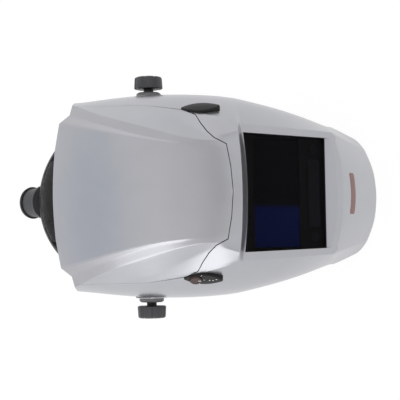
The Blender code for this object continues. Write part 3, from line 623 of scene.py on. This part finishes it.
well = bmesh.new()
loops = []
for grow, high in ((-1.0, False), (FLANGE_WALL, False), (FLANGE_WALL, True), (-1.0, True)):
    loop = []
    corners = opening(grow, SILL_DRAFT if grow > 0 else 0.0)
    for (x0, y0), (x1, y1) in zip(corners, corners[1:] + corners[:1]):
        for k in range(SIDE_POINTS):
            x, y = x0 + (x1 - x0) * k / SIDE_POINTS, y0 + (y1 - y0) * k / SIDE_POINTS
            top = FRAME_RISE - FRAME_SAG * (x / OPEN_HALF) ** 2 - FLANGE_SHY
            loop.append(well.verts.new((x, y, top if high else SEAT)))
    loops.append([well.edges.new(pair) for pair in zip(loop, loop[1:] + loop[:1])])
for first, second in zip(loops, loops[1:] + loops[:1]):
    bmesh.ops.bridge_loops(well, edges=first + second)
flange = show("window_flange", well, LENS, silver)
spent.append(carve(face, flange, "UNION"))
drop = SILL_DRAFT / (FRAME_RISE - SEAT)
bm = bmesh.new()
rings = []
for high in (-30.0, SEAT + 0.5, 30.0):
    fall = drop * max(0.0, high - SEAT - 0.5)
    ring = opening(0.0)[:2] + [(x, y - fall) for x, y in opening(0.0)[2:]]
    rings.append([bm.verts.new((x, y, high)) for x, y in ring])
bridge(bm, rings)
bm.faces.new(rings[0])
bm.faces.new(rings[-1])
spent.append(carve(face, show("window_cut", bm, LENS), "DIFFERENCE"))
WALL_AT = SHELL_HALF_WIDTH - 1.2
POD = {}
for side, s in SIGN.items():
    reach = BOSS_RADIUS - 1.5
    seat = lathe("seat_" + side, [(0, 60), (reach, 60), (reach, 120), (0, 120)], SIDE[side])
    spent.append(carve(face, seat, "DIFFERENCE"))
    POD[side] = (
        SHELL
        @ Matrix.Translation((s * POD_ACROSS * WIDE, -POD_ALONG, POD_OUT))
        @ Matrix.Rotation(math.radians(s * POD_LEAN), 4, "Y")
        @ Matrix.Rotation(math.radians(s * POD_TWIST), 4, "Z")
    )


def eye(grow):
    """The outline of a control pod: two arcs meeting at blunt tips, long along the shell."""
    high, long = POD_HEIGHT / 2 + grow, POD_LENGTH / 2 + grow
    shares = [k / EYE_POINTS for k in range(2 - EYE_POINTS, EYE_POINTS - 1)]
    right = [(high * (1 - share ** 2), long * share) for share in shares]
    return right + [(-x, -y) for x, y in right]


for side in SIGN:
    hole = block("pod_hole_" + side, eye(GAP), -16, 12, POD[side])
    spent.append(carve(face, hole, "DIFFERENCE"))
    carve(crown, hole, "DIFFERENCE")
settle(face)
settle(crown)
joined = bmesh.new()
joined.from_mesh(face.data)
for side in SIGN:
    low = WALL_AT - BOSS_DEEP
    ring = [
        (PIVOT_BORE, low + 0.5), (PIVOT_BORE + 0.5, low),
        (BOSS_RADIUS - 0.8, low), (BOSS_RADIUS, low + 0.8),
        (BOSS_RADIUS, WALL_AT - 0.8), (BOSS_RADIUS - 0.8, WALL_AT),
        (PIVOT_BORE + 0.5, WALL_AT), (PIVOT_BORE, WALL_AT - 0.5),
    ]
    boss = lathe("boss_" + side, ring, SIDE[side])
    for f in boss.data.polygons:
        f.material_index = int(abs(f.center.x) < (WALL_AT - 3) * 0.001)
    joined.from_mesh(boss.data)
    spent.append(boss)
joined.to_mesh(face.data)
joined.free()
for piece, node in ((face, "face_shell"), (crown, "crown_shell")):
    smooth(piece, 10)
    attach(piece, "shell")
    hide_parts(node)
for cutter in spent:
    bpy.data.objects.remove(cutter, do_unlink=True)

# Chin bar: a plain muted red inlay let into the chin's crease, following the surface it lies in.
# It stands where the photographed helmet has its marking, and carries none.
BAR_AT = 193.5
BAR_HALF = 19.5
BAR_TALL = 5.6
BAR_BOW = 45e-4
BAR_PROUD = 0.22
BAR_DEEP = 0.5
bar_red = paint("bar_red", (0.28, 0.115, 0.1), 0.42, 0.3, 0.15, 2200.0, 0.06)
tree = BVHTree.FromObject(face, bpy.context.evaluated_depsgraph_get())
bm = bmesh.new()
rows = 6
places = 24
layers = []
for lift in (BAR_PROUD, -BAR_DEEP):
    sheet = []
    for row in range(rows + 1):
        line = []
        for k in range(places + 1):
            x = BAR_HALF * (2 * k / places - 1)
            narrow = min(1.0, (BAR_HALF - abs(x)) / 1.2 + 0.75)
            l = BAR_AT + BAR_TALL * (row / rows - 0.5) * narrow - BAR_BOW * x * x
            start = (SHELL @ Vector((x, -l, 120))) * 0.001
            hit = tree.ray_cast(start, -out)[0]
            line.append(bm.verts.new(SHELL.inverted() @ (hit * 1000) + Vector((0, 0, lift))))
        sheet.append(line)
    layers.append(sheet)
for sheet in layers:
    for one, two in zip(sheet, sheet[1:]):
        for k in range(places):
            bm.faces.new((one[k], one[k + 1], two[k + 1], two[k]))
loops = []
for sheet in layers:
    border = sheet[0] + [line[-1] for line in sheet[1:]]
    border += sheet[-1][-2::-1] + [line[0] for line in sheet[-2:0:-1]]
    loops.append(border)
bridge(bm, loops)
bar = show("chin_bar", bm, SHELL, bar_red)
smooth(bar, 40)
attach(bar, "shell")

# Control pods: black eye-shaped plates let into the seam, the right one with the shade dial.
# The dial has a fluted rim and a white pointer, and the plate a plain scale of white marks.
POD_DEEP = 6.0
POD_PROUD = 1.0
DIAL_RADIUS = 5.6
DIAL_ALONG = 7.0
DIAL_LOW = -2.7
FLUTES = 30
FLUTE_DEEP = 0.28
black = paint(
    "black_plastic", (0.014, 0.014, 0.015), 0.38, 0.0, 0.0, 1400.0, 0.12, 0.1, (0.06, 0.06, 0.062)
)
black.node_tree.nodes["Principled BSDF"].inputs["Specular IOR Level"].default_value = 0.25
red = paint("dial_red", (0.04, 0.014, 0.011), 0.4, 0.0, 0.1, 1800.0, 0.06)
white = paint("mark_white", (0.75, 0.75, 0.73), 0.5, 0.0, 0.0, 1800.0, 0.04)


def bevelled(bm, width, segments, angle):
    """Every edge sharper than an angle is eased."""
    least = math.radians(angle)
    sharp = [e for e in bm.edges if len(e.link_faces) == 2 and e.calc_face_angle() > least]
    bmesh.ops.bevel(
        bm, geom=sharp, offset=width, segments=segments, profile=0.5, affect="EDGES", material=-1
    )


for side in SIGN:
    bm = slab(eye(0.0), -POD_DEEP, POD_PROUD)
    bmesh.ops.recalc_face_normals(bm, faces=bm.faces)
    bevelled(bm, 0.8, 3, 60)
    pod = show("pod_plate_" + side, bm, POD[side], black)
    if side == "right":
        dial_spot = POD[side] @ Matrix.Translation((0, DIAL_ALONG, 0))
        reach = DIAL_RADIUS + GAP
        socket = lathe("socket", [(0, -3), (reach, -3), (reach, 9), (0, 9)], dial_spot)
        carve(pod, socket, "DIFFERENCE")
        settle(pod)
        bpy.data.objects.remove(socket, do_unlink=True)
    smooth(pod, 35)
    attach(pod, "shell")
    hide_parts("control_pod_" + side)
around = 4 * FLUTES
rim = [
    (0.0, DIAL_LOW), (DIAL_RADIUS, DIAL_LOW), (DIAL_RADIUS, 1.9), (5.35, 2.4), (4.9, 2.8),
    (3.4, 2.8), (3.2, 2.55), (0.0, 2.55),
]
bm = bmesh.new()
rings = []
for r, h in rim:
    ring = []
    for k in range(around):
        a = math.tau * k / around
        nip = FLUTE_DEEP * max(0.0, math.cos(FLUTES * a)) if r > 5.2 and h > -2 else 0.0
        ring.append(bm.verts.new(((r - nip) * math.cos(a), (r - nip) * math.sin(a), h)))
    rings.append(ring)
bridge(bm, rings)
bmesh.ops.remove_doubles(bm, verts=bm.verts, dist=1e-4)
dial = show("dial_cap", bm, dial_spot, red)
smooth(dial, 40)
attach(dial, "dial")
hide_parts("shade_dial")


def tick(name, length, width, high, place, rides):
    """A raised white mark: a bar with eased edges."""
    bm = bmesh.new()
    bmesh.ops.create_cube(bm, size=1.0, matrix=Matrix.Diagonal((width, length, high, 1.0)))
    bevelled(bm, min(width, high) * 0.3, 2, 30)
    mark = show(name, bm, place, white)
    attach(mark, rides)


MARK_HIGH = 0.3
MARK_AT = POD_PROUD + 0.05
place = dial_spot @ Matrix.Translation((0.6, -3.4, 2.75))
tick("dial_pointer", 2.6, 0.9, MARK_HIGH, place, "dial")
for k, bearing in enumerate((-56, 0, 56)):
    turned = dial_spot @ Matrix.Rotation(math.radians(bearing), 4, "Z")
    place = turned @ Matrix.Translation((0, -7.6, MARK_AT))
    tick("scale_mark_%d" % k, 1.5, 0.55, MARK_HIGH, place, "shell")
for k, (x, y) in enumerate(((0.0, -12.4), (0.0, -15.6), (1.6, -18.4))):
    place = dial_spot @ Matrix.Translation((x, y, MARK_AT))
    tick("state_mark_%d" % k, 1.3, 1.3 - 0.2 * k, MARK_HIGH, place, "shell")

# Clamping knobs: seven scallops round the grip, a cap with a ring-shaped groove, a plain black stem.
# Each stands on the outer washer at its pivot and turns about the pivot axis.
KNOB_RADIUS = 13.6
KNOB_HEIGHT = 11.6
STEM_RADIUS = 4.7
STEM_LENGTH = 3.2
WASHER_THICK = 3.6
BOLT_RADIUS = 3.2
SCALLOPS = 7
SCALLOP_OUT = 2.4
SCALLOP_RADIUS = 3.6
CAP_DEEP = 2.7
KNOB_STEPS = 140
grey = paint(
    "grey_plastic", (0.055, 0.056, 0.06), 0.45, 0.0, 0.0, 1400.0, 0.18, 0.1, (0.1, 0.1, 0.105)
)
washer_grey = paint("washer_grey", (0.17, 0.17, 0.175), 0.42, 0.2, 0.0, 1600.0, 0.08)


def scalloped(angle, radius):
    """The grip's radius at one bearing: a circle nipped by seven round grooves."""
    middle = KNOB_RADIUS + SCALLOP_OUT
    off = (angle * SCALLOPS / math.tau + 0.5) % 1.0 - 0.5
    off *= math.tau / SCALLOPS
    inside = SCALLOP_RADIUS ** 2 - (middle * math.sin(off)) ** 2
    if inside <= 0.0:
        return radius
    nipped = middle * math.cos(off) - math.sqrt(inside)
    return min(radius, nipped - (KNOB_RADIUS - radius))


for side in SIGN:
    hole = BOLT_RADIUS + GAP
    stem = WALL_AT + GAP + WASHER_THICK + GAP
    low = stem + STEM_LENGTH
    high = low + KNOB_HEIGHT
    rim = [
        (hole, stem, 0), (STEM_RADIUS, stem, 0), (STEM_RADIUS, low, 0),
        (KNOB_RADIUS - 1.0, low, 1), (KNOB_RADIUS - 0.2, low + 0.4, 1), (KNOB_RADIUS, low + 1.0, 1),
        (KNOB_RADIUS - 0.5, high - 1.8, 1), (KNOB_RADIUS - 0.8, high - 0.9, 1),
        (KNOB_RADIUS - 1.6, high - 0.3, 1), (KNOB_RADIUS - 2.6, high, 1),
        (8.2, high, 0), (7.8, high - 0.6, 0), (3.0, high - 0.6, 0), (2.4, high, 0), (0.0, high, 0),
        (0.0, high - CAP_DEEP, 0), (hole, high - CAP_DEEP, 0),
    ]
    bm = bmesh.new()
    rings = []
    for r, h, grips in rim:
        ring = []
        for k in range(KNOB_STEPS):
            a = math.tau * k / KNOB_STEPS
            reach = scalloped(a, r) if grips else r
            ring.append(bm.verts.new((reach * math.cos(a), reach * math.sin(a), h)))
        rings.append(ring)
    bridge(bm, rings + rings[:1])
    bmesh.ops.remove_doubles(bm, verts=bm.verts, dist=1e-4)
    knob = show("clamp_knob_" + side, bm, SIDE[side], grey, black)
    for f in knob.data.polygons:
        f.material_index = int(abs(f.center.x) < (low + 0.05) * 0.001)
    smooth(knob, 38)
    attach(knob, "tension_" + side)
    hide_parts("tension_knob_" + side)

# Pads: each soft pad of the headband is blown up a little as cloth, kept from moving into the band,
# then pinched again along its sewn channels.
BAND_REAR = 132.0
BAND_FRONT = 82.0
BAND_HALF_WIDTH = 78.0
BAND_BACK = BAND_REAR - (BAND_REAR + BAND_FRONT) / 2
BAND_LONG = (BAND_REAR + BAND_FRONT) / 2
VOXEL = 0.0022
PRESSURE = 4.0
CLOTH_STEPS = 20
PUFF_MOST = 0.0012
CHANNEL_DEEP = 0.0008
CHANNEL_WIDE = 1.3
CHANNEL_SIDE = 0.085
cloth_look = paint("pad_cloth", (0.05, 0.048, 0.047), 0.92, 0.0, 0.0, 1500.0, 0.7, 0.22)
cloth_look.node_tree.nodes["Principled BSDF"].inputs["Sheen Weight"].default_value = 0.35
for name, start, end, pieces in (("sweatband", -62, 62, 24), ("nape_pad", 146, 214, 16)):
    pad = bpy.data.objects.new(name + "_cushion", nodes[name].data.copy())
    scene.collection.objects.link(pad)
    pad.data.materials.clear()
    pad.data.materials.append(cloth_look)
    grid = pad.modifiers.new("grid", "REMESH")
    grid.mode = "VOXEL"
    grid.voxel_size = VOXEL
    settle(pad)
    rest = [v.co.copy() for v in pad.data.vertices]
    cloth = pad.modifiers.new("cloth", "CLOTH")
    cloth.settings.use_pressure = True
    cloth.settings.uniform_pressure_force = PRESSURE
    cloth.settings.effector_weights.gravity = 0.0
    cloth.settings.quality = 6
    for step in range(1, CLOTH_STEPS + 1):
        scene.frame_set(step)
    settle(pad)
    scene.frame_set(1)
    channels = [math.radians(start + (end - start) * k / pieces) for k in range(4, pieces, 4)]
    for v, at in zip(pad.data.vertices, rest):
        move = v.co - at
        if move.length > PUFF_MOST:
            move *= PUFF_MOST / move.length
        turn = math.atan2(at.x / BAND_HALF_WIDTH, (BAND_BACK * 0.001 - at.y) / BAND_LONG)
        outward = Vector((math.sin(turn), -math.cos(turn), 0))
        move -= outward * max(0.0, move.dot(outward))
        v.co = at + move
        deep = 1.0 - (at.to_2d() - Vector((0, BAND_BACK * 0.001))).length / (
            Vector((BAND_HALF_WIDTH * math.sin(turn), BAND_LONG * math.cos(turn))).length * 0.001
        )
        apart = min(abs((turn - c + math.pi) % math.tau - math.pi) for c in channels) * BAND_HALF_WIDTH
        pinch = math.exp(-((apart / CHANNEL_WIDE) ** 2)) * (deep > CHANNEL_SIDE)
        v.co += outward * CHANNEL_DEEP * pinch
    finer = pad.modifiers.new("finer", "SUBSURF")
    finer.levels = finer.render_levels = 1
    settle(pad)
    pad.data.shade_smooth()
    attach(pad, "headgear")
    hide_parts(name)

# Everything else shows its solid: each gets its finish here by the piece it is.
# The filter's glass has a painted blue reflection towards the wearer's right, under a clear dark cover
# lens.
strap = paint(
    "strap_plastic", (0.075, 0.075, 0.08), 0.5, 0.0, 0.0, 1200.0, 0.12, 0.1, (0.12, 0.12, 0.125)
)
steel = paint("steel", (0.55, 0.55, 0.56), 0.3, 1.0, 0.0, 900.0, 0.05)
rubber = paint("rubber", (0.015, 0.015, 0.016), 0.7, 0.0, 0.0, 1800.0, 0.2)
cell = paint("solar_cell", (0.012, 0.010, 0.03), 0.18, 0.0, 0.3, 600.0, 0.02)
glass = paint("filter_coating_and_painted_reflection", (0.004, 0.004, 0.006), 0.1, 0.0, 0.0, 300.0, 0.0, 0.2)
tree = glass.node_tree
where = tree.nodes.new("ShaderNodeTexCoord")
split = tree.nodes.new("ShaderNodeSeparateXYZ")
tree.links.new(where.outputs["Object"], split.inputs["Vector"])
# Painted reflection: the glass's colour turns blue towards the wearer's right, a reflection painted into
# its base colour.
band = tree.nodes.new("ShaderNodeMapRange")
band.interpolation_type = "SMOOTHSTEP"
band.inputs["From Min"].default_value = -0.009
band.inputs["From Max"].default_value = -0.016
tree.links.new(split.outputs["X"], band.inputs["Value"])
painted_reflection = tree.nodes.new("ShaderNodeMix")
painted_reflection.data_type = "RGBA"
painted_reflection.inputs["B"].default_value = (0.012, 0.055, 0.56, 1.0)
shader = tree.nodes["Principled BSDF"]
plain = shader.inputs["Base Color"].links[0].from_socket
tree.links.new(band.outputs["Result"], painted_reflection.inputs["Factor"])
tree.links.new(plain, painted_reflection.inputs["A"])
tree.links.new(painted_reflection.outputs["Result"], shader.inputs["Base Color"])
shader.inputs["Specular IOR Level"].default_value = 0.05
inner_glass = paint("inner_glass", (0.006, 0.009, 0.008), 0.08, 0.0, 0.0, 300.0, 0.0)
lens = paint("cover_lens", (0.003, 0.003, 0.004), 0.05, 0.0, 0.0, 200.0, 0.0)
shader = lens.node_tree.nodes["Principled BSDF"]
shader.inputs["Specular IOR Level"].default_value = 0.05
shader.inputs["Alpha"].default_value = 0.5
finishes = (
    (("ratchet_housing", "battery_cap", "sensitivity", "delay"), grey),
    (("outer_washer",), washer_grey),
    (("front_band", "rear_strap", "crown_strap"), strap),
    (("pivot_arm", "ratchet_cover", "ratchet_pinion"), strap),
    (("filter_cassette", "cassette_frame", "shade_pot"), black),
    (("pivot_bush", "crown_peg", "ratchet_knob"), black),
    (("mode_button",), red),
    (("pivot_bolt", "arm_rivet", "coin_cell"), steel),
    (("lens_gasket", "friction_washer", "dial_lead"), rubber),
    (("solar_panel", "arc_sensor"), cell),
    (("filter_glass",), glass),
    (("inner_cover_lens",), inner_glass),
    (("cover_lens",), lens),
)
for name, piece in nodes.items():
    for starts, finish in finishes:
        if name.startswith(starts):
            piece.data.materials.clear()
            piece.data.materials.append(finish)
            smooth(piece, 35)
